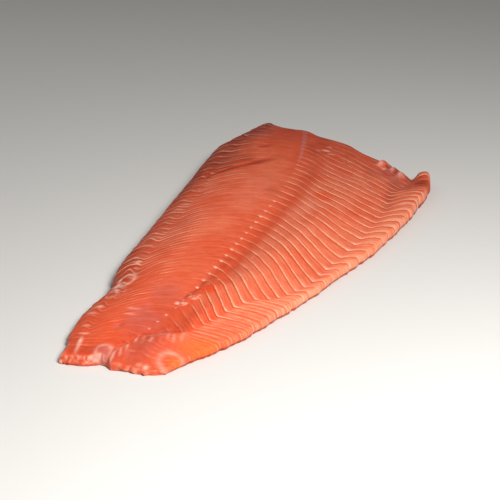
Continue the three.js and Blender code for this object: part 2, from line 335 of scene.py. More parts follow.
@dataclass(frozen=True)
class Section:
    """The side's thickness, along nine lines that run from the tail to the head."""

    back_rim: Curve = Curve(
        ((-200, 5), (-140, 8), (-50, 12), (50, 14), (100, 13.5), (250, 14.5))
    )
    loin: Curve = Curve(
        ((-200, 6.5), (-180, 10.5), (-140, 16), (-90, 20), (0, 25), (90, 28), (165, 27.5),
         (200, 24.5), (230, 20.5), (255, 18))
    )
    middle: Curve = Curve(
        ((-200, 6), (-180, 9.5), (-140, 13), (-90, 16), (0, 20), (90, 23.5), (165, 24),
         (240, 21))
    )
    belly: Curve = Curve(
        ((-200, 6.5), (-180, 10.5), (-140, 14), (-90, 16.5), (0, 19), (90, 20), (165, 18),
         (220, 15))
    )
    fold: Curve = Curve(((-200, 5.5), (-140, 9), (-90, 10), (0, 11), (90, 11.5), (165, 10.5)))
    belly_rim: Curve = Curve(((-200, 5), (-140, 6), (0, 7), (90, 8), (165, 8.5)))
    shares: tuple[float, ...] = (-1, -0.8, -0.45, -0.1, 0, 0.12, 0.4, 0.8, 1)
    furrow: float = 2.0

    def height(self, y: Array, share: Array) -> Array:
        """Height of the smooth upper surface.

        Args:
            y: Place along the side.
            share: Place across it.

        Returns:
            The height above the underside.
        """
        rim, loin, middle = self.back_rim(y), self.loin(y), self.middle(y)
        furrow = self.furrow * (0.15 + 0.85 * smooth_step(-105, -65, y))
        heights = np.stack([
            rim, rim + 0.62 * (loin - rim), loin, middle + 0.35 * (loin - middle), middle,
            middle - furrow, self.belly(y), self.fold(y), self.belly_rim(y),
        ])
        knots = np.array(self.shares)
        slopes = calm_slopes(knots, heights)

        def pick(values: Array) -> Callable[[Array], Array]:
            """Reads each point's own value at the knots asked for."""
            return lambda at: np.take_along_axis(values, at[None], 0)[0]

        return between_knots(knots, share, pick(heights), pick(slopes))


class Region(Enum):
    """The parts of the mesh. Only the underside takes a colour of its own."""

    UPPER = 0.0
    CUT = 0.5
    UNDER = 1.0


@dataclass(frozen=True)
class Lump:
    """A small rise or dent of the surface."""

    x: float
    y: float
    radius: float
    rise: float

    def __call__(self, x: Array, y: Array) -> Array:
        """Rise at each place."""
        return self.rise * np.exp(-((x - self.x) ** 2 + (y - self.y) ** 2) / self.radius**2)


@dataclass(frozen=True)
class Relief:
    """What stands out of the smooth surface, or is sunk in it."""

    outline: Outline
    flakes: Flakes
    crease: Curve = Curve(
        ((60, -64), (80, -61), (91, -52.5), (101, -43.5), (112, -34.5), (123, -27.5),
         (132, -23), (146, -18))
    )
    crease_drop: float = 1.5
    lobe: Curve = Curve(((-28, -193), (-20, -181), (-17, -172), (-5, -169.5), (6, -164)))
    lobe_rise: float = 2.0
    strip_ridge: float = 2.2
    strip_valley: float = 1.2
    lumps: tuple[Lump, ...] = (
        Lump(63, 173, 5.8, 5.2), Lump(73.5, 163.5, 5.4, 4.8), Lump(81.5, 157.5, 4.8, 4.2),
        Lump(76, 147, 5, 1.4), Lump(97, 170, 7, 1.4), Lump(88.5, 158, 4, -1.6),
        Lump(6, -101, 7.5, 1.4), Lump(0, -116, 5, 1), Lump(-4, -119, 3, 0.8),
        Lump(-7.5, -126, 3, 0.8), Lump(-34.6, -163, 2.6, -1.6), Lump(10, -190, 6, 0.8),
    )
    small_lumps: tuple[Lump, ...] = (
        Lump(60.5, 170, 2.6, 1), Lump(67, 166, 2.4, 0.9), Lump(70, 158, 2.8, 1.1),
        Lump(78, 157, 2.4, 1), Lump(83, 150, 2.6, 1), Lump(73, 141, 2.6, 0.7),
        Lump(81, 140, 2.8, 0.8), Lump(-51.5, -183, 2.2, 0.7), Lump(-50.5, -189, 2.2, 0.9),
        Lump(-49.5, -195, 2.2, 0.7), Lump(-56, -190, 2.4, 0.7), Lump(-55.5, -196, 2.4, 0.8),
        Lump(-36, -191, 3, 0.7), Lump(-31.5, -188, 2.4, 0.6), Lump(-32.5, -195, 2.4, 0.5),
        Lump(-25.5, -190, 2.6, 0.6), Lump(-6.5, -196.5, 2.2, 0.7), Lump(11.5, -187, 4, 0.8),
        Lump(-51, -106, 4.5, 0.8), Lump(-54, -82, 3, 0.6), Lump(-55.5, -145, 3, 0.6),
    )
    crevice: Curve = Curve(
        ((-136, -10.8), (-129, -8.8), (-120.6, -7.2), (-112, -5.5), (-104, -3.4), (-94, -2.4))
    )
    belly_step: float = 0.3
    strip_step: float = 0.28
    back_step: float = 0.2
    curl_step: float = 0.42
    loin_step: float = 0.07
    pillow: float = 0.3

    def step_depth(self, row: Array, share: Array) -> Array:
        """Height of the small step where one flake overlaps the next.

        Args:
            row: Row number.
            share: Place across the side.

        Returns:
            The step's height.
        """
        fold = self.flakes.fold(self.flakes.start(row))
        flatter = 1 - 0.45 * smooth_step(0, 110, self.flakes.start(row))
        belly = self.belly_step * flatter * smooth_step(0.13, 0.28, share)
        strip = (self.strip_step - self.belly_step) * smooth_step(-0.03, 0.05, share - fold)
        back = (self.back_step - self.loin_step) * smooth_step(0.3, 0.5, -share)
        curls = (self.curl_step - self.back_step) * smooth_step(0.6, 0.72, -share)
        smooth_tail = 1 - 0.8 * fade_out(3, 6, row) * smooth_step(0.3, 0.5, share)
        ends = smooth_step(0, 2, row) * smooth_step(0, 1.5, self.flakes.count - row)
        rim = 1 - 0.7 * smooth_step(0.95, 1.0, np.abs(share))
        uneven = 1 + 0.45 * Grain(71, 1.0)(share * 6, 1.37 * np.floor(row + 0.5))
        back = (back + curls) * (0.2 + 0.8 * smooth_step(-160, -95, self.flakes.start(row)))
        total = self.loin_step + belly + strip + back
        return total * ends * rim * smooth_tail * uneven

    def strip_rise(self, row: Array, share: Array) -> Array:
        """Crest of the belly strip near the head, and the fold beside it."""
        start = self.flakes.start(row)
        fold = self.flakes.fold(start)
        beyond = (share - fold) / (1 - fold)
        crest = self.strip_ridge * bell(beyond, 0.8, 0.45)
        valley = self.strip_valley * bell(beyond, 0.0, 0.3)
        return (crest - valley) * smooth_step(95, 150, start)

    def tail_hollow(self, x: Array, y: Array) -> Array:
        """Depth share of the hollow along the edge of the tail's lobe."""
        inside = self.lobe(x) - y
        along = window(x, -27, -20, 3, 9)
        bend = bell(x, 3.5, 4.0) * bell(y, -151, 9)
        return np.maximum(bell(inside, -3.9, 4.0) * along, 0.7 * bend)

    def in_crevice(self, x: Array, y: Array, width: float) -> Array:
        """Nearness to the crevice on the middle line at the tail."""
        along = window(y, -139, -129, -99, -90)
        return bell(x, self.crevice(y), width) * along

    def height(self, x: Array, y: Array, row: Array, share: Array) -> Array:
        """Height added to the smooth surface.

        Args:
            x: Place across.
            y: Place along.
            row: Row number.
            share: Place across as a share.

        Returns:
            The added height.
        """
        phase = row - np.floor(row)
        shingle = np.where(
            phase < 0.93,
            np.maximum(1 - phase / 0.93, 0) ** 1.3,
            smooth_step(0.93, 1.0, phase),
        )
        total = self.step_depth(row, share) * (shingle - 0.6)
        half = 2 * phase - np.floor(2 * phase)
        strands = 0.12 * window(-share, 0.3, 0.45, 0.9, 1.0)
        outer = smooth_step(0.52, 0.68, -share)
        strands = strands * (1 - 0.6 * smooth_step(-30, 30, y) * (1 - outer))
        strands = strands * (0.2 + 0.8 * smooth_step(-160, -95, y))
        strands = strands + 0.1 * self.strip_only(row, share)
        total = total + strands * (0.5 + 0.5 * np.cos(2 * math.pi * half))
        heads = window(share, 0.1, 0.2, 0.35, 0.6)
        heads = heads * smooth_step(-150, -120, y) * (1 - 0.6 * smooth_step(-20, 40, y))
        total = total + self.pillow * heads * (np.sin(math.pi * phase) - 0.6)
        past = self.crease(y) - x
        fade = smooth_step(-13, 1, past) * (1 - 0.6 * smooth_step(1, 6, past))
        fade = fade * fade_out(6, 46, past)
        total = total - self.crease_drop * fade * smooth_step(66, 84, y) * (
            1 - smooth_step(112, 148, y)
        )
        inside = self.lobe(x) - y
        lobe = window(inside, -4, 0, 8, 26)
        total = total + self.lobe_rise * lobe * smooth_step(-30, -22, x) * (
            1 - smooth_step(4, 16, x)
        )
        rough = 1 + 0.8 * Grain(73, 4.0)(x, y)
        total = total - 1.1 * self.tail_hollow(x, y) - 0.5 * rough * self.in_crevice(x, y, 1.8)
        total = total + self.strip_rise(row, share)
        for lump in (*self.lumps, *self.small_lumps):
            total = total + lump(x, y)
        return total

    def strip_only(self, row: Array, share: Array) -> Array:
        """One on the belly strip, none elsewhere."""
        return smooth_step(0.0, 0.06, share - self.flakes.fold(self.flakes.start(row)))


@dataclass(frozen=True)
class Grid:
    """Every point of the upper surface, the side walls and the two cut faces."""

    x: Array
    y: Array
    z: Array
    row: Array
    share: Array
    out_x: Array
    out_y: Array
    down: Array
    region: Array


# ---- Where each tint lies -------------------------------------------------------------------


@dataclass(frozen=True)
class Patch:
    """An oval patch with soft, uneven edges."""

    x: float
    y: float
    long: float
    wide: float
    turn: float = 0.0
    strength: float = 1.0

    def __call__(self, x: Array, y: Array) -> Array:
        """Strength at each place."""
        c, s = math.cos(math.radians(self.turn)), math.sin(math.radians(self.turn))
        u = ((x - self.x) * c + (y - self.y) * s) / self.long
        v = ((y - self.y) * c - (x - self.x) * s) / self.wide
        return self.strength * np.exp(-((u * u + v * v) ** 1.5))


@dataclass(frozen=True)
class Ring:
    """An oval ring, such as the curled end of a strand."""

    x: float
    y: float
    across: float
    along: float
    strength: float

    def __call__(self, x: Array, y: Array) -> Array:
        """Strength at each place."""
        u, v = (x - self.x) / self.across, (y - self.y) / self.along
        return self.strength * bell(np.hypot(u, v), 1.0, 0.24)


def strongest(marks: tuple[Patch | Ring, ...], x: Array, y: Array) -> Array:
    """The strongest of several marks at each place."""
    return np.maximum.reduce([mark(x, y) for mark in marks])


@dataclass(frozen=True)
class Markings:
    """How strongly each tint shows, place by place: flesh tints, painted shade and painted
    highlights.
    """

    outline: Outline
    flakes: Flakes
    relief: Relief
    flake_length: float = 9.9
    dot_aside: float = 1.4
    # Most creamy patches are pale tissue. These are painted highlights: those on the tops of the
    # head lumps (x 61 to 81), a sheen of three short strokes near x 8 to 19 and y 169 to 177, and
    # the two faint broad patches near y 40 to 48 on the loin.
    creamy: tuple[Patch | Ring, ...] = (
        Patch(-9.2, -127.5, 1.6, 1, 30, 0.9), Patch(-5, -125.8, 2.2, 0.8, 15, 0.75),
        Patch(-4.4, -118.2, 1.5, 0.9, 20, 0.8), Patch(-0.6, -119.4, 1.6, 0.8, -10, 0.7),
        Patch(1.2, -114.5, 1.2, 0.8, 10, 0.6), Ring(-7, -127, 3, 1.8, 0.5),
        Ring(-1.5, -118, 2.8, 1.8, 0.45), Patch(-31.8, -144.8, 4, 0.9, 8, 0.4),
        Patch(-32, -151.2, 3.6, 0.9, 8, 0.4), Patch(-50.4, -188, 8, 1.5, -80, 0.75),
        Patch(-54.1, -81.8, 3, 2, -40, 0.75), Patch(-48.5, -105, 2.4, 3, 0, 0.3),
        Patch(-56.6, -144, 4, 2, -20, 0.7), Patch(-57.2, -152.3, 4, 1.4, -20, 0.5),
        Patch(-55, -167, 3.4, 1.2, -10, 0.4), Patch(-52.2, -176, 3.6, 1.2, -6, 0.5),
        Patch(81, 155, 3.4, 4, 0, 0.35), Patch(61, 170, 2.4, 3, 0, 0.5),
        Patch(65.5, 163, 2.2, 2, 0, 0.4), Patch(72.5, 161.5, 1.8, 2.6, 0, 0.6),
        Patch(80, 154.5, 1.8, 2, 0, 0.45), Patch(76, 151, 3.2, 2, 0, 0.25),
        Patch(13.2, 176.5, 3.6, 2.2, 10, 0.55), Patch(19, 169.5, 3, 1.8, 10, 0.45),
        Patch(8, 172.5, 2.4, 1.6, 10, 0.4), Patch(13.2, 188.5, 2.2, 2.6, 0, 0.3),
        Patch(93.5, 173, 1.8, 2.2, 0, 0.9), Patch(-4.2, -196, 1.8, 1.8, 0, 0.8),
        Patch(-8.5, -195.5, 2.2, 1.6, 0, 0.5), Patch(17.1, -50.1, 0.9, 1.4, 0, 0.5),
        Patch(1.5, -97.3, 1, 0.9, 0, 0.5), Patch(5.5, -88, 1.2, 0.9, 0, 0.4),
        Patch(-54.5, 48, 5, 0.8, 10, 0.5), Patch(-54.5, 60, 5, 0.8, 10, 0.5),
        Patch(-54, 73, 5.5, 0.8, 12, 0.5), Patch(-45, 42.5, 4, 0.7, 6, 0.4),
        Patch(-14, 48, 12, 36, 0, 0.08), Patch(28, 40, 9, 22, -20, 0.1),
        Patch(-76, 248, 4, 3, 0, 0.6), Ring(-33, -191.5, 4.4, 5.6, 0.32),
        Patch(-29.5, -187.5, 1.6, 1.6, 0, 0.5), Patch(-35.5, -195.5, 1.8, 1.6, 0, 0.45),
        Ring(-52, -107.5, 5.2, 7.5, 0.75), Ring(9, -188, 7.5, 6.5, 0.35),
        Ring(-54, -128, 3.6, 4.5, 0.3),
    )
    lilac: tuple[Patch | Ring, ...] = (
        Patch(-33, -192.5, 5, 6.5, 0, 0.6), Patch(-26.5, -190, 1.6, 6.5, -30, 0.6),
        Patch(-34.5, -164.5, 2.4, 3.2, 0, 0.4), Patch(62, 171, 5.5, 6, 0, 0.4),
        Patch(73.5, 161, 5, 5.5, 0, 0.8), Patch(69, 154, 9, 7, -35, 0.4),
        Patch(78, 146, 9, 12, 0, 0.4), Patch(83, 136, 6, 7, 0, 0.45),
        Patch(-6.5, 66, 3.4, 0.9, 0, 0.4), Patch(-3.8, 79, 3.6, 0.9, 0, 0.3),
        Patch(-7.7, 92.5, 2, 1.4, 0, 0.3), Patch(-15, -122, 9, 5, 25, 0.25),
        Patch(-20, -118, 11, 16, 0, 0.22), Patch(-22, -152, 12, 18, 0, 0.34),
        Patch(-9, -184, 14, 8, 20, 0.25), Patch(-4, -168, 8, 6, 0, 0.3),
        Patch(94, 97, 6, 1.6, 8, 0.5), Patch(-72, 120, 3, 30, 0, 0.35),
        Patch(-60, 205, 14, 2, 20, 0.35), Patch(-45, 190, 14, 2, 15, 0.3),
        Patch(-72, 236, 6, 7, 0, 0.5),
    )
    # Patches of painted shade, among them the gaps and lower sides of the head lumps.
    dark: tuple[Patch | Ring, ...] = (
        Patch(11.5, -43, 3, 6, -20, 0.35), Patch(8.5, -68, 3, 7, -20, 0.35),
        Patch(12.5, -19, 3, 5, -20, 0.3), Patch(-1, 63, 8, 6, 0, 0.3), Patch(5, 77, 7, 4, 0, 0.3),
        Patch(4, 172, 6, 16, 20, 0.4), Patch(12, 150, 6, 14, 20, 0.25),
        Patch(-35, 152, 10, 2.6, 58, 0.5), Patch(-41, -194, 7, 4.5, 0, 0.5),
        Patch(-20, -176, 9, 2.2, 35, 0.45), Patch(-66.5, 76, 6, 6, 0, 0.5),
        Patch(60, 150, 9, 14, 30, 0.3), Patch(75, 157, 13, 13, 0, 0.6),
        Patch(96, 152, 6, 12, 0, 0.35), Patch(92, 163, 6, 11, -10, 0.6),
        Patch(99, 147, 9, 11, -10, 0.85), Patch(88, 141, 4, 9, 0, 0.6),
        Patch(68, 168, 1.6, 6, 0, 0.85), Patch(77.5, 159, 1.4, 6, 0, 0.8),
        Patch(63, 160, 5, 2.4, -20, 0.65), Patch(74, 151, 5, 2.4, -20, 0.6),
        Patch(-54, -92, 6, 3, -40, 0.45), Patch(-55, -118, 6, 3, -40, 0.35),
        Patch(3.5, -153, 5, 9, 0, 0.45), Patch(-8, -183, 16, 11, 20, 0.45),
        Patch(-20, -156, 15, 22, 0, 0.3), Patch(-16, -127, 11, 18, 0, 0.35),
        Patch(-50, -104, 8, 14, 0, 0.3), Patch(-54, -122, 8, 9, 0, 0.55),
        Patch(-28, -194, 30, 6, 0, 0.5), Patch(-48, -38, 12, 30, 0, 0.2),
        Patch(86, 138, 17, 13, -10, 0.7),
    )
    vivid: tuple[Patch | Ring, ...] = (
        Patch(5, -104, 7.5, 9, 0, 1), Patch(9.5, -91, 6.5, 8, 0, 0.9),
        Patch(-1, -47.5, 2.2, 2.6, 0, 1), Patch(0.5, -38, 2, 1.6, 0, 0.5),
        Patch(36, 70.5, 10, 7.5, -40, 1), Patch(100, 160, 6.5, 11, 0, 0.5),
        Patch(-46, -168, 9, 14, 0, 0.5), Patch(-42, -145, 12, 9, 0, 0.55),
        Patch(-14, -192, 9, 5, 0, 0.45), Patch(-5, -184, 8, 6, 30, 0.55),
        Patch(-41.5, -166, 7, 6, 30, 0.8), Patch(-37, -150, 9, 3, 30, 0.5),
        Patch(-60.5, 49, 5, 4, 0, 0.6), Patch(-58.5, 36, 6, 4, 0, 0.5),
        # The patch at x -45, y 86 lies along the crease: painted shade.
        Patch(-45, 86, 14, 4, 48, 0.8), Patch(46, 182, 14, 9, -35, 0.4),
        Patch(-53, -100, 6, 9, 0, 0.4),
    )

    def fat_lines(self, y: Array, row: Array, share: Array) -> Array:
        """Strength of the pale line of fat on each groove."""
        belly = 0.9 * smooth_step(0.13, 0.26, share) + 0.15 * smooth_step(40, 110, y)
        belly = belly * (1 - 0.45 * smooth_step(100, 160, y) * fade_out(0.4, 0.6, share))
        near = 0.6 * window(share, -0.03, 0.02, 0.09, 0.18)
        near = near * smooth_step(-110, -80, y) * (1 - 0.7 * smooth_step(110, 170, y))
        tail = 0.25 + 0.75 * smooth_step(-160, -95, y)
        x = self.outline.across(y, share)
        back = 0.8 * tail * smooth_step(0.28, 0.48, -share) * self.quiet_loin(y, share)
        back = back * self.clusters(x, y)
        curls = 0.2 * tail * smooth_step(0.6, 0.72, -share)
        lobe = fade_out(-172, -138, y) * smooth_step(0.25, 0.45, share)
        calm = 1 - (0.85 - 0.35 * smooth_step(0.8, 0.95, share)) * lobe
        calm = calm * (1 - 0.7 * fade_out(-150, -125, y) * (share > 0) * (share < 0.5))
        calm = calm * (1 - Patch(75.0, 153.0, 21.0, 17.0, -38)(x, y))
        calm = calm * (1 - 0.8 * self.creased(x, y))
        calm = calm * (1 - 0.3 * self.relief.strip_only(row, share) * fade_out(20, 60, y))
        calm = calm * (1 - 0.7 * self.near_head(y, share)) * (1 - 0.8 * self.orange(x, y))
        loin = 0.1 - 0.04 * (share > 0)
        total = loin + belly * (share > 0) + near + back + curls
        ends = smooth_step(0, 0.7, row) * smooth_step(0, 0.7, self.flakes.count - row)
        uneven = 1 + 0.4 * Grain(51, 1.0)(share * 7, 1.37 * np.floor(row + 0.5))
        return np.clip(total * calm * uneven, 0, 1) * ends

    def clusters(self, x: Array, y: Array) -> Array:
        """How the lines on the back half come and go, from place to place."""
        return np.clip(0.7 + 1.3 * Grain(87, 17)(x, y), 0.2, 1)

    def creased(self, x: Array, y: Array) -> Array:
        """Nearness to the crease that parts the loin from the flap at the head."""
        along = window(y, 62, 80, 112, 140)
        return bell(self.relief.crease(y) - x, -4.0, 6.0) * along

    def quiet_loin(self, y: Array, share: Array) -> Array:
        """Share of the lines that stays where they fade between loin and back edge."""
        return 1 - 0.5 * smooth_step(-30, 30, y) * fade_out(0.52, 0.68, -share)

    def near_head(self, y: Array, share: Array) -> Array:
        """The band of smoother flesh along the head cut."""
        behind = self.outline.head_cut(share) - y
        across = window(share, -0.5, -0.2, 0.5, 0.62)
        return fade_out(14, 40, behind) * across

    def orange(self, x: Array, y: Array) -> Array:
        """The two smooth orange patches at the belly corner of the tail."""
        large = Patch(22.0, -167.0, 14.0, 9.0, 35)(x, y)
        return np.maximum(large, Patch(11.5, -187.0, 6.0, 6.0)(x, y))

    def curl_lines(self, x: Array, y: Array, row: Array, share: Array) -> Array:
        """Bright wavy ends of the flakes along the back edge."""
        strip = window(-share, 0.58, 0.7, 0.93, 0.99)

        def stroke(at: Array) -> Array:
            """A pale stroke just past each whole number."""
            phase = at - np.floor(at)
            return window(phase, 0.0, 0.04, 0.1, 0.22)

        line = stroke(row) + np.clip(0.1 + 1.6 * Grain(85, 7)(x, y), 0, 0.8) * stroke(row + 0.5)
        groups = np.clip(0.35 + 1.5 * Grain(83, 13)(x, y), 0, 1)
        along = smooth_step(-130, -60, y) * (1 - 0.8 * smooth_step(66, 82, y))
        return line * strip * groups * along

    def half_lines(self, row: Array, share: Array) -> Array:
        """Strength of the line halfway between two grooves."""
        back = 0.95 * smooth_step(0.28, 0.45, -share) * (1 - 0.75 * smooth_step(0.66, 0.78, -share))
        back = back * (0.15 + 0.85 * smooth_step(4, 12, row))
        back = back * self.quiet_loin(self.flakes.start(row) - 25, share)
        strip = 0.75 * self.relief.strip_only(row, share)
        strip = strip * (1 - 0.9 * smooth_step(20, 27, row)) * smooth_step(2, 6, row)
        uneven = 1 + 0.6 * Grain(52, 1.0)(share * 7, 1.37 * np.floor(row))
        y = self.flakes.start(row) - 25
        flap = smooth_step(85, 115, y) * smooth_step(0.3, 0.5, -share)
        x = self.outline.across(y, share)
        calm = (1 - 0.8 * self.creased(x, y)) * (1 - 0.6 * flap) * self.clusters(x, y)
        return np.clip((back + strip) * uneven, 0, 1) * calm

    def fine_lines(self, y: Array, share: Array, fold: Array) -> Array:
        """Strength of the thinner lines between the grooves."""
        strip = 0.5 * smooth_step(0.0, 0.06, share - fold)
        belly = 0.2 * smooth_step(0.2, 0.4, share)
        head = 0.2 * smooth_step(40, 110, y) * smooth_step(0.15, 0.3, share)
        flap = 0.3 * smooth_step(90, 130, y) * smooth_step(0.35, 0.5, -share)
        lobe = 0.3 + 0.7 * smooth_step(-172, -138, y)
        return np.clip(0.04 + (strip + belly) * lobe + head + flap, 0, 1)

    def dots(self, x: Array, row: Array, y: Array) -> Array:
        """Pale marks where the pin bones were, one to a flake along the middle line."""
        whole = np.round(row)
        aside = x - self.outline.middle(y) - self.dot_aside
        ahead = (row - whole) * self.flake_length
        wobble = np.sin(whole * 12.9898) * 43758.5453
        chance = wobble - np.floor(wobble)
        strong = 0.65 + 0.35 * chance
        spot = np.exp(-((aside / (0.6 + 0.4 * chance)) ** 2 + (ahead / 0.7) ** 2) ** 1.2)
        body = window(whole, 9.4, 9.6, 25.4, 25.6)
        tail = 0.75 * window(whole, 2.4, 2.6, 9.4, 9.6)
        return spot * strong * (body + tail)

    def bone_strip(self, x: Array, y: Array, row: Array) -> Array:
        """The greyish strip on the middle line near the head cut."""
        half = 0.9 + 1.4 * smooth_step(125, 215, y)
        aside = np.abs(x - self.outline.middle(y) - 0.6)
        band = 1 - smooth_step(0.5, 1.3, aside / half)
        dashes = 0.7 + 0.3 * np.cos(2 * math.pi * row)
        return 0.75 * band * smooth_step(112, 150, y) * dashes

    def wedges(self, x: Array, y: Array, row: Array, share: Array, fold: Array) -> Array:
        """Cream wedges where each flake folds over at the belly strip."""
        phase = row - np.floor(row)
        from_fold = (share - fold) * self.outline.half_width(y, share)
        spot = bell(from_fold, -0.5, 2.2) * bell(phase, 0.08, 0.09)
        uneven = 0.5 + 0.5 * Grain(11, 13)(x, y)
        along = smooth_step(-140, -128, y) * (1 - 0.7 * smooth_step(0, 60, y))
        return 0.8 * spot * uneven * along

    def bands(self, x: Array, y: Array, row: Array, share: Array) -> Array:
        """Pale ends of the flakes, wider towards the belly edge, and a painted highlight along the
        rim.
        """
        phase = row - np.floor(row)
        from_rim = (1 - share) * self.outline.half_width(y, share)
        reach = 1 - smooth_step(4.0, 17.0, from_rim)
        wide = 0.12 + 0.26 * reach
        ends = window(phase, 0.0, 0.06, wide, wide + 0.16)
        uneven = 0.75 + 0.5 * Grain(13, 6)(x, y)
        along = 0.5 * smooth_step(-140, -90, y) + 0.5 * smooth_step(10, 60, y)
        band = reach * ends * uneven * along
        # The fringe is a painted highlight along the crest of the belly rim.
        fringe = fade_out(0.6, 2.4, from_rim) * (0.4 + 0.5 * Grain(17, 2.2)(x, y))
        return np.clip(np.maximum(0.95 * band, fringe * smooth_step(-160, -90, y)), 0, 1) * (
            share > 0
        )

    def tail_fringe(self, x: Array, y: Array, row: Array, share: Array) -> Array:
        """Frayed pale flesh along the tail cut and up its back corner."""
        speckle = 0.45 + 0.7 * Grain(23, 2.2)(x, y) + 0.6 * Grain(29, 1.2)(x, y)
        beyond = np.maximum(self.outline.tail_cut(share) - y, 0)
        fringe = 1 - smooth_step(0.02, 0.16, row) * (beyond < 0.01)
        left = 1 - smooth_step(-0.3, -0.05, share)
        side = 0.2 + 0.45 * left + 0.1 * smooth_step(0.7, 0.9, share)
        lower = smooth_step(1.5, 4.5, beyond)
        side = side * (1 - 0.55 * left * lower) + 0.12 * lower * (1 - left)
        from_rim = (1 + share) * self.outline.half_width(y, share)
        corner = fade_out(1.5, 4.5, from_rim) * fade_out(-188, -170, y)
        return np.clip(np.maximum(fringe * side, 0.6 * corner * (share < 0)) * speckle, 0, 1)

    def lobe_strokes(self, x: Array, y: Array) -> Array:
        """Pale strokes that hang over the edge of the lobe at the tail."""
        inside = self.relief.lobe(x) - y
        band = window(inside, -2.5, 0.5, 5, 12)
        comb = 0.5 + 0.5 * np.cos((x + 0.3 * y) * 1.35 + 2.5 * Grain(7, 8)(x, y))
        edge = 0.6 * bell(inside, -0.5, 1.6)
        total = np.maximum(band * comb**2, edge)
        total = total * np.clip(0.6 + 0.9 * Grain(27, 3.2)(x, y), 0, 1)
        return 0.8 * total * window(x, -31, -26, 4, 12)

    def tissue_and_highlights(self, x: Array, y: Array, row: Array, share: Array, fold: Array) -> Array:
        """All the creamy tissue taken together, with the painted highlights among the creamy
        patches.
        """
        frayed = Patch(-53.5, -119.0, 9.0, 4.5, -60, 1.0)(x, y)
        frayed = frayed * np.clip(0.3 + 1.3 * Grain(19, 1.7)(x, y), 0, 1)
        patches = strongest(self.creamy, x, y) * (0.85 + 0.35 * Grain(5, 3.1)(x, y))
        total = np.maximum.reduce([
            self.dots(x, row, y), self.wedges(x, y, row, share, fold), patches, 0.7 * frayed,
            self.tail_fringe(x, y, row, share), 0.5 * self.lobe_strokes(x, y),
        ])
        return np.clip(total, 0, 1)

    def membrane(self, x: Array, y: Array, row: Array) -> Array:
        """All the pinkish grey membrane taken together."""
        patches = strongest(self.lilac, x, y) * (0.8 + 0.5 * Grain(6, 3.4)(x, y))
        total = np.maximum.reduce([
            self.bone_strip(x, y, row), 0.6 * self.lobe_strokes(x, y), patches
        ])
        return np.clip(total, 0, 1)

    def painted_shade(self, x: Array, y: Array, share: Array) -> Array:
        """Painted shade, darker and redder: furrow, crevices, crease, fold, rims, flap and head."""
        from_rim = (1 - np.abs(share)) * self.outline.half_width(y, share)
        furrow = 0.25 * bell(share, 0.14, 0.07) * smooth_step(-80, -50, y)
        valley = 0.45 * bell(share, 0.07, 0.045) * smooth_step(-100, -88, y)
        furrow = np.maximum(furrow, valley * fade_out(-60, -30, y))
        back = share < 0
        # The back rim turns away from the light: painted shade.
        rim = 0.75 * fade_out(1, 26, from_rim) * back * smooth_step(-180, -80, y)
        rim = rim * (1 + 0.7 * smooth_step(0, 90, y))
        # Painted shade growing towards the head cut.
        head = 0.08 * smooth_step(20, 90, y) + 0.38 * smooth_step(120, 230, y)
        head = head + 0.28 * smooth_step(60, 150, y) * back * smooth_step(0.35, 0.7, -share)
        # Painted shade in the crease, and over the flap that slopes away from the light.
        past = self.relief.crease(y) - x
        crease = 0.8 * self.creased(x, y)
        flap = 0.6 * smooth_step(0, 6, past) * smooth_step(66, 84, y)
        flap = flap * fade_out(108, 140, y)
        flap = np.maximum(flap, 0.6 * smooth_step(95, 125, y) * smooth_step(0.5, 0.75, -share))
        spots = strongest(self.dark, x, y)
        fold = 0.5 * bell(share, self.flakes.fold(y + 45), 0.045) * smooth_step(60, 110, y)
        rough = 0.8 + 0.5 * Grain(43, 3.0)(x, y)
        total = np.maximum.reduce([
            furrow, rim, crease, flap, spots, fold, 0.6 * self.relief.tail_hollow(x, y),
            0.6 * rough * self.relief.in_crevice(x, y, 1.6),
        ])
        return np.clip((total + head) * (0.9 + 0.25 * Grain(41, 9)(x, y)), 0, 1)

    def red(self, x: Array, y: Array, share: Array) -> Array:
        """Vivid orange-red flesh, in patches and over the whole tail; red painted shade in furrow
        and crease.
        """
        tail = 0.5 * fade_out(-150, -70, y) + 0.3 * smooth_step(120, 170, y)
        # The red along the furrow and the crease is painted shade.
        furrow = 0.55 * bell(share, 0.13, 0.08) * fade_out(60, 140, y)
        spots = np.maximum(strongest(self.vivid, x, y), self.creased(x, y))
        return np.clip(np.maximum.reduce([spots, tail, furrow]), 0, 1)

    def lean(self, x: Array, y: Array, share: Array) -> Array:
        """Leaner, redder muscle: along the loin, and the whole width at both cuts; paler on the
        loin's crown, a painted highlight.
        """
        loin = 1 - smooth_step(0.05, 0.3, share)
        # A paler band along the crown of the loin: a painted highlight.
        crown_highlight = 0.9 * bell(share, -0.27, 0.19) * smooth_step(-160, -90, y)
        ends = np.maximum(smooth_step(80, 190, y), 0.8 - 0.8 * smooth_step(-150, -90, y))
        uneven = 0.85 + 0.5 * Grain(91, 11)(x, y)
        return np.clip(np.maximum(loin * (1 - crown_highlight), ends) * uneven, 0, 1)

    def strip(self, share: Array, fold: Array, y: Array) -> Array:
        """The brighter orange of the belly strip beyond the fold."""
        lobe = 0.35 + 0.65 * smooth_step(-175, -140, y)
        return smooth_step(-0.02, 0.08, share - fold) * (1 - 0.8 * smooth_step(20, 120, y)) * lobe

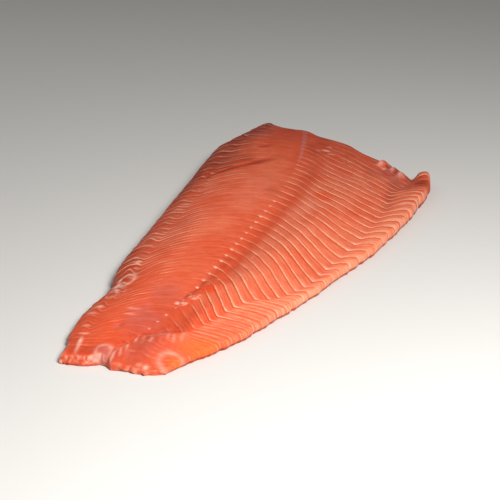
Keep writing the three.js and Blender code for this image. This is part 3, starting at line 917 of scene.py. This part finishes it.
    def tints(self, grid: Grid) -> dict[str, Array]:
        """The strength of every tint at every point of the grid.

        Args:
            grid: The grid of points.

        Returns:
            An array for each tint, by name.
        """
        x, y, row, share = grid.out_x, grid.out_y, grid.row, grid.share
        fold = self.flakes.fold(self.flakes.start(row))
        on_top = 1 - smooth_step(0.02, 0.3, grid.down)
        lined = 1 - 0.85 * Patch(101.0, 148.0, 12.0, 14.0)(x, y)
        return {
            "fat_lines": self.fat_lines(y, row, share) * on_top * lined,
            "half_lines": self.half_lines(row, share) * on_top * lined,
            "fine_lines": self.fine_lines(y, share, fold) * (0.3 + 0.7 * on_top) * lined,
            "bands": self.bands(x, y, row, share) * on_top * lined,
            "tissue_and_highlights": self.tissue_and_highlights(x, y, row, share, fold),
            "membrane": self.membrane(x, y, row),
            # The belly wall below the rim's top gets painted shade too.
            "painted_shade": np.maximum(self.painted_shade(x, y, share), 0.7 * (1 - on_top) * (share == 1)),
            "red": self.red(x, y, share),
            "lean": self.lean(x, y, share),
            "orange": self.orange(x, y),
            "curl_lines": self.curl_lines(x, y, row, share),
            "strip": self.strip(share, fold, y),
        }


# ---- The body -------------------------------------------------------------------------------


@dataclass
class SalmonSide:
    """The whole fillet: one closed body with its flakes as relief."""

    outline: Outline = field(default_factory=Outline)
    section: Section = field(default_factory=Section)
    phases: tuple[float, ...] = (0.0, 0.07, 0.17, 0.3, 0.46, 0.62, 0.78, 0.9, 0.96)
    back_columns: int = 96
    belly_columns: int = 112
    wall_columns: int = 4
    cap_rows: int = 5
    under_columns: int = 12
    edge_round: float = 6.0
    belly_round: float = 2.4
    rim_drop: float = 0.55
    under_inset: float = 1.6
    cut_round: float = 0.28
    tail_thinning: float = 0.4
    wander: float = 0.11
    centre: tuple[float, float] = (10.075, 26.735)

    def __post_init__(self) -> None:
        """Makes the flakes, the relief and the markings that share the outline."""
        self.flakes = Flakes(self.outline)
        self.relief = Relief(self.outline, self.flakes)
        self.markings = Markings(self.outline, self.flakes, self.relief)

    def _rows(self) -> Array:
        """Row numbers, close together at each groove and at both cuts."""
        inner = [i + phase for i in range(self.flakes.count) for phase in self.phases]
        close = [0.03, 0.11, self.flakes.count - 0.02, float(self.flakes.count)]
        return np.unique(np.round(np.array(inner + close), 4))

    def _shares(self) -> Array:
        """Shares across the side, closer together at the rims and at the middle line."""

        def outward(count: int) -> Array:
            """Shares from 0 to 1, closer at both ends."""
            s = np.linspace(0, 1, count + 1)
            ease = s - 0.09 * np.sin(2 * math.pi * s)
            return 0.35 * ease + 0.65 * (1 - (1 - ease) ** 1.25)

        back = outward(self.back_columns)[1:][::-1]
        return np.concatenate([-back, [0.0], outward(self.belly_columns)[1:]])

    def _upper(self, row: Array, share: Array) -> tuple[Array, Array, Array]:
        """The upper surface.

        Args:
            row: Row numbers.
            share: Shares across the side.

        Returns:
            Places across, places along and heights.
        """
        ends = smooth_step(0, 2, row) * smooth_step(0, 2, self.flakes.count - row)
        rough_y, rough_x = self.flakes.start(row), share * 80
        drift = Grain(3, 26)(rough_x, rough_y) + 0.45 * Grain(4, 9)(rough_x, rough_y)
        drift = drift + 2.0 * smooth_step(0.58, 0.75, -share) * Grain(12, 7)(rough_x, rough_y)
        y = self.flakes.along(row + self.wander * drift * ends, share)
        cuts = 1 - smooth_step(0, 0.5, np.minimum(row, self.flakes.count - row))
        y = y + 0.9 * Grain(65, 5.0)(rough_x, 0 * rough_x) * cuts
        x = self.outline.across(y, share)
        z = self.section.height(y, share) + self.relief.height(x, y, row, share)
        z = z + 0.25 * Grain(8, 14)(x, y) + 0.1 * Grain(9, 5)(x, y)
        belly_round = self.belly_round - self.edge_round
        edge_round = self.edge_round + belly_round * smooth_step(0.5, 0.9, share)
        reach = np.minimum(0.45 * z, edge_round)
        from_rim = (1 - np.abs(share)) * self.outline.half_width(y, share)
        near = np.maximum(1 - from_rim / reach, 0)
        z = z * (1 - self.rim_drop * (1 - np.sqrt(1 - near * near)))
        from_cut = np.minimum(row, self.flakes.count - row) / self.cut_round
        near_cut = np.maximum(1 - from_cut, 0)
        z = z * (1 - 0.3 * (1 - np.sqrt(1 - near_cut * near_cut)))
        thin = smooth_step(-0.2, 0.3, share) * fade_out(0, 1.6, row)
        z = z * (1 - self.tail_thinning * thin)
        notch = 0.5 + 0.5 * np.cos(2 * math.pi * (row - 0.1))
        torn = 0.7 * Grain(61, 2.4)(y, 0 * y) + 0.7 * Grain(62, 5.0)(y, 0 * y)
        x = x - (0.45 * notch + torn) * ends * smooth_step(0.94, 1.0, share)
        frayed = 0.8 + 0.8 * fade_out(-120, -60, y)
        torn = frayed * (0.6 * Grain(63, 3.0)(y, 0 * y) + 0.7 * Grain(64, 7.0)(y, 0 * y))
        x = x + torn * ends * smooth_step(0.92, 1.0, -share)
        return x, y, z

    def _grid(self) -> Grid:
        """The whole grid with its walls and its cut faces."""
        rows = np.concatenate([np.zeros(self.cap_rows), self._rows(),
                               np.full(self.cap_rows, float(self.flakes.count))])
        shares = np.concatenate([-np.ones(self.wall_columns), self._shares(),
                                 np.ones(self.wall_columns)])
        row, share = np.meshgrid(rows, shares, indexing="ij")
        x, y, top = self._upper(row, share)
        down_cap = np.zeros(len(rows))
        down_cap[: self.cap_rows] = np.linspace(1, 0, self.cap_rows + 1)[:-1]
        down_cap[-self.cap_rows:] = np.linspace(0, 1, self.cap_rows + 1)[1:]
        down_wall = np.zeros(len(shares))
        down_wall[: self.wall_columns] = np.linspace(1, 0, self.wall_columns + 1)[:-1]
        down_wall[-self.wall_columns:] = np.linspace(0, 1, self.wall_columns + 1)[1:]
        cap, wall = np.meshgrid(down_cap, down_wall, indexing="ij")
        outwards = np.where(row > 1, 1.0, -1.0)
        out_x = x + np.sign(share) * wall * top
        out_y = y + outwards * cap * top
        ragged = 0.8 * Grain(31, 3.7)(out_x, out_y) + 0.6 * Grain(37, 1.7)(out_x, out_y)
        return Grid(
            x=x - np.sign(share) * self.under_inset * wall**1.5,
            y=y + outwards * np.sin(math.pi * cap) * (1 - wall) * (0.4 + ragged),
            z=top * (1 - cap) * (1 - wall),
            row=row,
            share=share,
            out_x=out_x,
            out_y=out_y,
            down=np.maximum(cap, wall),
            region=np.where(cap > 0, Region.CUT.value, Region.UPPER.value),
        )

    def _underside(
        self, x: Array, y: Array, first: int
    ) -> tuple[list[int], list[tuple[int, ...]]]:
        """The flat underside inside the grid's lowest ring.

        Args:
            x: Places across, of the grid.
            y: Places along, of the grid.
            first: Number that the first new vertex gets.

        Returns:
            The grid vertex above each new vertex, and the faces that use them.
        """
        wide = x.shape[1]
        above: list[int] = []
        lines: list[list[int]] = []
        for r in range(self.cap_rows + 1, x.shape[0] - self.cap_rows - 1):
            line = [r * wide]
            for k in range(1, self.under_columns):
                at = self.wall_columns + k * (wide - 2 * self.wall_columns) // self.under_columns
                above.append(r * wide + at)
                line.append(first + len(above) - 1)
            lines.append([*line, r * wide + wide - 1])
        faces: list[tuple[int, ...]] = []
        for low, high in zip(lines[:-1], lines[1:]):
            for k in range(len(low) - 1):
                faces.append((low[k], high[k], high[k + 1], low[k + 1]))
        flat = list(zip(x.ravel(), y.ravel()))
        places = [*flat, *(flat[i] for i in above)]
        corner = self.cap_rows * wide
        tail = [corner, *range(wide), corner + wide - 1]
        faces += self._zip(tail, lines[0], places)
        corner = (x.shape[0] - self.cap_rows - 1) * wide
        top = (x.shape[0] - 1) * wide
        head = [corner, *range(top, top + wide), corner + wide - 1]
        faces += [face[::-1] for face in self._zip(head, lines[-1], places)]
        return above, faces

    @staticmethod
    def _zip(
        many: list[int], few: list[int], places: list[tuple[float, float]]
    ) -> list[tuple[int, ...]]:
        """Triangles between two lines of vertices that run the same way.

        Args:
            many: The finer line.
            few: The coarser line.
            places: Where every vertex lies.

        Returns:
            The triangles.
        """
        faces: list[tuple[int, ...]] = []
        i = j = 0
        while i < len(many) - 1 or j < len(few) - 1:
            ahead = places[many[i + 1]][0] if i < len(many) - 1 else math.inf
            other = places[few[j + 1]][0] if j < len(few) - 1 else math.inf
            if ahead <= other:
                faces.append((many[i], few[j], many[i + 1]))
                i += 1
            else:
                faces.append((many[i], few[j], few[j + 1]))
                j += 1
        return faces

    def build(self) -> bpy.types.Object:
        """Makes the mesh, with the tints as attributes of its points.

        Returns:
            The new object.
        """
        grid = self._grid()
        tall, wide = grid.x.shape
        number = np.arange(tall * wide).reshape(tall, wide)
        cells = np.stack(
            [number[:-1, :-1], number[:-1, 1:], number[1:, 1:], number[1:, :-1]], -1
        ).reshape(-1, 4)
        above, under = self._underside(grid.x, grid.y, tall * wide)
        points = np.stack([grid.x.ravel(), grid.y.ravel(), grid.z.ravel()], 1)
        points = np.concatenate([points, points[above] * (1, 1, 0)])
        points[:, :2] -= self.centre
        mesh = bpy.data.meshes.new("salmon_side")
        mesh.from_pydata((points * MM).tolist(), [], [*cells.tolist(), *under])
        mesh.update()
        mesh.shade_smooth()
        self._paint(mesh, grid, above)
        piece = bpy.data.objects.new("salmon_side", mesh)
        bpy.context.scene.collection.objects.link(piece)
        return piece

    def _paint(self, mesh: bpy.types.Mesh, grid: Grid, above: list[int]) -> None:
        """Writes the tints to the mesh.

        Args:
            mesh: The mesh.
            grid: The grid of points.
            above: The grid point above each point of the underside.
        """
        tints = self.markings.tints(grid)
        tints |= {"flake": grid.row, "share": grid.share, "region": grid.region}
        for name, values in tints.items():
            flat = values.ravel()
            below = np.full(len(above), Region.UNDER.value) if name == "region" else flat[above]
            data = np.concatenate([flat, below]).astype(np.float32)
            mesh.attributes.new(name, "FLOAT", "POINT").data.foreach_set("value", data)


# ---- Finishes -------------------------------------------------------------------------------


def linear(hex_colour: str) -> tuple[float, float, float, float]:
    """An sRGB hex colour as linear red, green, blue and alpha."""
    values = [int(hex_colour[i : i + 2], 16) / 255 for i in (1, 3, 5)]
    red, green, blue = (
        v / 12.92 if v <= 0.04045 else ((v + 0.055) / 1.055) ** 2.4 for v in values
    )
    return red, green, blue, 1.0


def add_node(
    tree: bpy.types.NodeTree,
    kind: str,
    links: dict[int | str, Socket] | None = None,
    values: dict[int | str, object] | None = None,
    **settings: object,
) -> bpy.types.Node:
    """Adds a shader node.

    Args:
        tree: The node tree.
        kind: The node's type.
        links: Sockets to link, by the input that each one feeds.
        values: Values to set, by input.
        **settings: Settings of the node itself.

    Returns:
        The new node.
    """
    node = tree.nodes.new(kind)
    for name, setting in settings.items():
        setattr(node, name, setting)
    for key, value in (values or {}).items():
        node.inputs[key].default_value = value
    for key, socket in (links or {}).items():
        tree.links.new(socket, node.inputs[key])
    return node


@dataclass(frozen=True)
class Shading:
    """Short ways to add nodes to one tree."""

    tree: bpy.types.NodeTree

    def read(self, name: str) -> Socket:
        """The value of one attribute of the mesh."""
        return add_node(self.tree, "ShaderNodeAttribute", attribute_name=name).outputs["Fac"]

    def calculate(self, operation: str, *inputs: Socket | float) -> Socket:
        """The result of a calculation on sockets or numbers."""
        links = {i: v for i, v in enumerate(inputs) if isinstance(v, Socket)}
        numbers = {i: v for i, v in enumerate(inputs) if not isinstance(v, Socket)}
        return add_node(
            self.tree, "ShaderNodeMath", links, numbers, operation=operation
        ).outputs[0]

    def times(self, first: Socket, second: Socket | float) -> Socket:
        """The product of two values."""
        return self.calculate("MULTIPLY", first, second)

    def noise(self, vector: Socket, scale: float, detail: float, roughness: float) -> Socket:
        """Smooth unevenness, with so many cells to a unit of the vector."""
        values = {"Scale": scale, "Detail": detail, "Roughness": roughness}
        return add_node(
            self.tree, "ShaderNodeTexNoise", {"Vector": vector}, values
        ).outputs["Fac"]

    def ramp(self, value: Socket, *stops: tuple[float, float]) -> Socket:
        """A value read off a ramp."""
        node = add_node(self.tree, "ShaderNodeValToRGB", {"Fac": value})
        elements = node.color_ramp.elements
        while len(elements) < len(stops):
            elements.new(0.5)
        for element, (at, level) in zip(elements, stops):
            element.position = at
        for element, (at, level) in zip(elements, stops):
            element.color = (level, level, level, 1)
        return node.outputs["Color"]

    def blend(self, amount: Socket, under: Socket | str, over: str) -> Socket:
        """One colour laid over another.

        Args:
            amount: How much of the upper colour shows.
            under: The colour below, worked out or as hex.
            over: The upper colour, as hex.

        Returns:
            The blended colour.
        """
        links: dict[int | str, Socket] = {"Factor": amount}
        values: dict[int | str, object] = {7: linear(over)}
        if isinstance(under, str):
            values[6] = linear(under)
        else:
            links[6] = under
        settings = {"data_type": "RGBA", "clamp_factor": True}
        return add_node(self.tree, "ShaderNodeMix", links, values, **settings).outputs[2]


@dataclass(frozen=True)
class Pattern:
    """The values that the lines and the flesh are drawn from."""

    place: Socket
    shifted: Socket
    phase: Socket
    ragged: Socket
    streaks: Socket


# Raw farmed salmon, skinned and freshly cut. Light sinks up to 4 mm into the moist muscle, red
# deepest, and comes back orange-red, so shadows glow and the forms look soft. The thin wet film
# gives only weak, broad highlights. Fat and membrane let less light in and stand out pale.
@dataclass(frozen=True)
class RawSalmon:
    """Raw salmon muscle with its fat and membrane, and painted shade and highlights."""

    flesh: str = "#D95836"
    pale_flesh: str = "#E67A58"
    lean: str = "#D04727"
    strip: str = "#E67C56"
    orange: str = "#F46A30"
    # Dark red-brown colour of the painted shade.
    painted_shade: str = "#86220C"
    # Vivid flesh red, also the red of the painted shade in the furrow and the crease.
    red: str = "#DE481B"
    fat: str = "#FFC09F"
    # Pale tissue, also the colour of the painted highlights.
    tissue_and_highlights: str = "#FFC9B2"
    membrane: str = "#CC807C"
    # Dark red of the darker streaks, and of the painted shade at the grooves.
    crevice: str = "#A83616"
    under: str = "#E08A6A"
    roughness: float = 0.42
    ior: float = 1.38
    scattering: float = 0.45
    scatter_depth: float = 4.0
    scatter_by_colour: tuple[float, float, float] = (1.0, 0.35, 0.2)
    shine: float = 0.12
    wet_film: float = 0.03
    film_roughness: float = 0.25
    grain_strength: float = 0.25
    grain_height: float = 0.6

    @staticmethod
    def _pattern(shading: Shading) -> Pattern:
        """Makes the flakes' phase and its unevenness.

        Args:
            shading: Adds the nodes.

        Returns:
            The values.
        """
        place = add_node(shading.tree, "ShaderNodeTexCoord").outputs["Object"]
        flake, share = shading.read("flake"), shading.read("share")
        # The lines waver over 2.5 mm. The streaks are about 12 mm long and 3 mm wide: a seventh
        # of the half width of the side, and a third of a flake.
        ragged = shading.noise(place, 1 / (2.5 * MM), 2.0, 0.6)
        shift = shading.times(shading.calculate("SUBTRACT", ragged, 0.5), 0.1)
        shifted = shading.calculate("ADD", flake, shift)
        along_flake = add_node(
            shading.tree, "ShaderNodeCombineXYZ",
            {0: shading.times(share, 7.0), 1: shading.times(flake, 3.0)},
        ).outputs[0]
        streaks = shading.noise(along_flake, 1.0, 4.0, 0.6)
        return Pattern(place, shifted, shading.calculate("FRACT", shifted), ragged, streaks)

    def _muscle(self, shading: Shading, pattern: Pattern) -> Socket:
        """The flesh with its painted shade, before its lines of fat are drawn.

        Args:
            shading: Adds the nodes.
            pattern: The flakes' pattern.

        Returns:
            The colour.
        """
        # Blotches 38 mm across change the tone slowly, and mottling is about 1 mm across.
        tone = shading.ramp(shading.noise(pattern.place, 26.0, 3.0, 0.55), (0.35, 0.0), (0.65, 0.7))
        colour = shading.blend(tone, self.flesh, self.pale_flesh)
        colour = shading.blend(shading.times(shading.read("lean"), 0.55), colour, self.lean)
        light = shading.ramp(pattern.streaks, (0.4, 0.0), (0.62, 1.0))
        colour = shading.blend(shading.times(light, 0.26), colour, self.pale_flesh)
        shade = shading.ramp(pattern.streaks, (0.36, 1.0), (0.52, 0.0))
        colour = shading.blend(shading.times(shade, 0.17), colour, self.crevice)
        colour = shading.blend(shading.times(shading.read("strip"), 0.85), colour, self.strip)
        mottle = shading.noise(pattern.place, 900.0, 2.0, 0.7)
        mottled = shading.ramp(mottle, (0.3, 0.35), (0.5, 0.0))
        colour = shading.blend(mottled, colour, self.lean)
        # Red flesh, and red painted shade in the furrow and the crease.
        colour = shading.blend(shading.times(shading.read("red"), 0.85), colour, self.red)
        colour = shading.blend(shading.times(shading.read("orange"), 0.9), colour, self.orange)
        colour = shading.blend(shading.read("membrane"), colour, self.membrane)
        # Painted shade laid over the flesh.
        return shading.blend(shading.times(shading.read("painted_shade"), 0.85), colour, self.painted_shade)

    def _with_fat(self, shading: Shading, pattern: Pattern, colour: Socket) -> Socket:
        """Draws painted shade in the grooves, and the lines of fat, over the flesh.

        Args:
            shading: Adds the nodes.
            pattern: The flakes' pattern.
            colour: The flesh below.

        Returns:
            The colour.
        """
        fat_lines, half_lines = shading.read("fat_lines"), shading.read("half_lines")
        half_phase = shading.calculate("FRACT", shading.calculate("ADD", pattern.shifted, 0.5))
        # A dark line at each groove, beside the pale line of fat: painted shade where one flake
        # steps down to the next.
        groove = ((0.0, 0.3), (0.03, 0.0), (0.8, 0.0), (0.93, 1.0), (1.0, 0.5))
        for phase, lines in ((pattern.phase, fat_lines), (half_phase, half_lines)):
            dark = shading.times(shading.ramp(phase, *groove), lines)
            colour = shading.blend(shading.times(dark, 0.5), colour, self.crevice)
        long_gaps = shading.ramp(pattern.streaks, (0.3, 0.35), (0.58, 1.0))
        short_gaps = shading.ramp(pattern.ragged, (0.3, 0.6), (0.55, 1.0))
        gaps = shading.times(long_gaps, short_gaps)
        stops = ((0.0, 0.45), (0.035, 1.0), (0.08, 0.75), (0.2, 0.12), (0.5, 0.0), (0.97, 0.0))
        pale = shading.times(shading.ramp(pattern.phase, *stops), fat_lines)
        colour = shading.blend(shading.times(shading.times(pale, gaps), 0.9), colour, self.fat)

        # The line halfway between two grooves, on the back strip and the belly strip.
        stops = ((0.0, 0.6), (0.04, 1.0), (0.12, 0.5), (0.25, 0.0), (0.94, 0.0))
        half = shading.times(shading.ramp(half_phase, *stops), half_lines)
        colour = shading.blend(shading.times(shading.times(half, gaps), 0.7), colour, self.fat)
        colour = shading.blend(shading.times(shading.read("bands"), 0.42), colour, self.fat)

        # Three thinner lines to a flake, broken by the streaks.
        thin_phase = shading.calculate("FRACT", shading.times(pattern.shifted, 3.0))
        stops = ((0.0, 0.5), (0.1, 1.0), (0.3, 0.2), (0.5, 0.0), (0.92, 0.0))
        thin = shading.times(shading.ramp(thin_phase, *stops), shading.read("fine_lines"))
        broken = shading.ramp(pattern.streaks, (0.42, 0.0), (0.6, 1.0))
        return shading.blend(shading.times(shading.times(thin, broken), 0.65), colour, self.fat)

    def material(self) -> bpy.types.Material:
        """Builds the material.

        Returns:
            The finished material.
        """
        material = bpy.data.materials.new("raw_salmon_flesh")
        material.use_nodes = True
        material.node_tree.nodes.clear()
        shading = Shading(material.node_tree)
        pattern = self._pattern(shading)
        colour = self._with_fat(shading, pattern, self._muscle(shading, pattern))
        colour = shading.blend(shading.times(shading.read("curl_lines"), 0.8), colour, self.tissue_and_highlights)
        # Pale tissue and painted highlights.
        colour = shading.blend(shading.read("tissue_and_highlights"), colour, self.tissue_and_highlights)
        below = shading.ramp(shading.read("region"), (0.5, 0.0), (1.0, 1.0))
        colour = shading.blend(shading.times(below, 0.7), colour, self.under)

        # The wet surface is uneven over about 1.5 mm.
        grain = shading.noise(pattern.place, 650.0, 3.0, 0.6)
        bump = add_node(
            shading.tree, "ShaderNodeBump", {"Height": grain},
            {"Strength": self.grain_strength, "Distance": self.grain_height * MM},
        ).outputs["Normal"]
        shader = add_node(
            shading.tree, "ShaderNodeBsdfPrincipled",
            {"Base Color": colour, "Normal": bump},
            {
                "Roughness": self.roughness,
                "IOR": self.ior,
                "Subsurface Weight": self.scattering,
                "Subsurface Radius": self.scatter_by_colour,
                "Subsurface Scale": self.scatter_depth * MM,
                "Specular IOR Level": self.shine,
                "Coat Weight": self.wet_film,
                "Coat Roughness": self.film_roughness,
            },
        )
        add_node(shading.tree, "ShaderNodeOutputMaterial", {"Surface": shader.outputs[0]})
        return material


# Matt painted board: it scatters the lamps evenly and shows only the fillet's soft shadow.
@dataclass(frozen=True)
class StudioFloor:
    """A plain matt pale floor, in metres, just under the fillet so that the two never meet."""

    colour: str = "#DDDAD5"
    half_size: float = 6.0
    drop: float = 0.0002
    roughness: float = 0.85

    def build(self) -> bpy.types.Object:
        """Makes the floor.

        Returns:
            The floor object.
        """
        s = self.half_size
        mesh = bpy.data.meshes.new("floor")
        mesh.from_pydata([(-s, -s, 0), (s, -s, 0), (s, s, 0), (-s, s, 0)], [], [(0, 1, 2, 3)])
        floor = bpy.data.objects.new("floor", mesh)
        floor.location.z = -self.drop
        bpy.context.scene.collection.objects.link(floor)
        material = bpy.data.materials.new("matt_pale_floor")
        material.use_nodes = True
        shader = material.node_tree.nodes["Principled BSDF"]
        shader.inputs["Base Color"].default_value = linear(self.colour)
        shader.inputs["Roughness"].default_value = self.roughness
        mesh.materials.append(material)
        return floor


@dataclass(frozen=True)
class SoftLight:
    """A square soft lamp aimed at a point, in metres and watts."""

    name: str
    place: tuple[float, float, float]
    target: tuple[float, float, float]
    size: float
    power: float
    colour: str = "#FFFFFF"

    def build(self) -> bpy.types.Object:
        """Makes the lamp.

        Returns:
            The lamp object.
        """
        data = bpy.data.lights.new(self.name, "AREA")
        data.size = self.size
        data.energy = self.power
        data.color = linear(self.colour)[:3]
        lamp = bpy.data.objects.new(self.name, data)
        lamp.location = self.place
        direction = Vector(self.target) - Vector(self.place)
        lamp.rotation_euler = direction.to_track_quat("-Z", "Y").to_euler()
        bpy.context.scene.collection.objects.link(lamp)
        return lamp


@dataclass(frozen=True)
class Studio:
    """Floor, lamps, sky light and camera, in metres."""

    floor: StudioFloor = StudioFloor()
    lamps: tuple[SoftLight, ...] = (
        SoftLight("key", (0.42, -0.55, 0.6), (0.0, -0.1, 0.0), 0.3, 9.8),
        SoftLight("fill", (-0.9, 0.2, 0.9), (0.0, 0.0, 0.0), 0.9, 1.45),
    )
    sky: str = "#FFFFFF"
    sky_strength: float = 0.15
    camera_place: tuple[float, float, float] = (0.23443, -0.82653, 0.355)
    camera_target: tuple[float, float, float] = (-0.010075, -0.026735, 0.0)
    lens: float = 90.0
    sensor_width: float = 36.0

    def build(self) -> None:
        """Makes the floor, the lamps, the sky light and the camera."""
        scene = bpy.context.scene
        scene.view_settings.view_transform = "Standard"
        self.floor.build()
        for lamp in self.lamps:
            lamp.build()
        world = bpy.data.worlds.new("soft_sky")
        world.use_nodes = True
        background = world.node_tree.nodes["Background"]
        background.inputs["Color"].default_value = linear(self.sky)
        background.inputs["Strength"].default_value = self.sky_strength
        scene.world = world
        camera = bpy.data.objects.new("camera", bpy.data.cameras.new("camera"))
        camera.data.sensor_width = self.sensor_width
        camera.data.lens = self.lens
        camera.location = self.camera_place
        direction = Vector(self.camera_target) - Vector(self.camera_place)
        camera.rotation_euler = direction.to_track_quat("-Z", "Y").to_euler()
        scene.collection.objects.link(camera)
        scene.camera = camera


def main() -> None:
    """Builds the studio and the fillet, and reports each piece."""
    logging.basicConfig(level=logging.INFO, format="%(message)s")
    Studio().build()
    LOG.info("studio: floor, lamps, sky light and camera")
    side = SalmonSide()
    piece = side.build()
    piece.data.materials.append(RawSalmon().material())
    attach(piece, "root")
    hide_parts("fillet")
    LOG.info("%s: %d faces", piece.name, len(piece.data.polygons))


if __name__ == "__main__":
    main()
